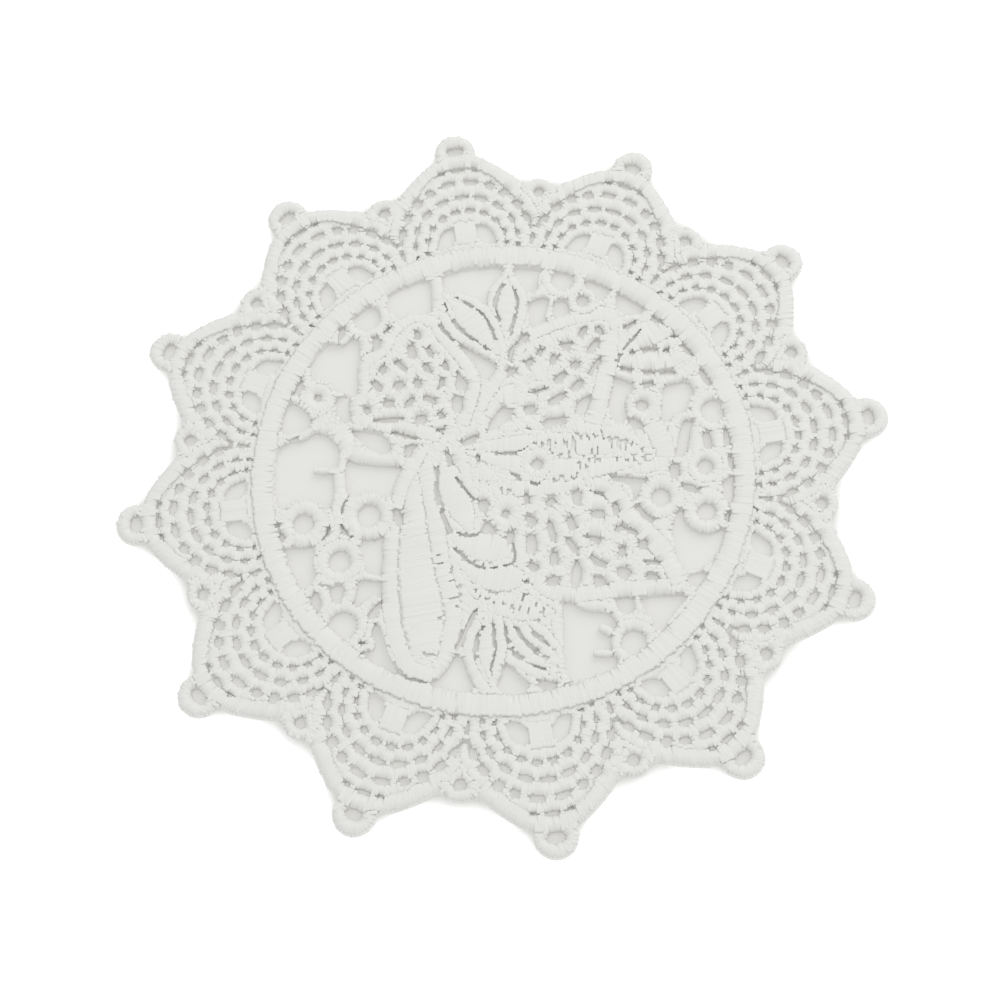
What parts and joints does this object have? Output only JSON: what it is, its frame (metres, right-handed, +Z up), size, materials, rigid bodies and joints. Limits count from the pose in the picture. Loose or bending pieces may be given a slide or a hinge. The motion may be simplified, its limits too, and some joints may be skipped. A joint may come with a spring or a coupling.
{
  "type": "lace coaster",
  "caption": "Round white lace coaster with a scalloped, looped edge, netted fans, a satin ring and a butterfly among leaves and eyelet flowers.",
  "frame": {"origin": "middle of the coaster on the table it lies on", "axes": "+Z up out of the lace's face, +Y away from the viewer towards the two upper leaves, +X to the right towards the satin side wing"},
  "size_m": [0.12, 0.12, 0.0016],
  "materials": {
    "thread": "matt off-white polyester embroidery thread, satin stitched"
  },
  "bodies": {
    "root": {"lace_coaster": "thread"}
  },
  "joints": []
}
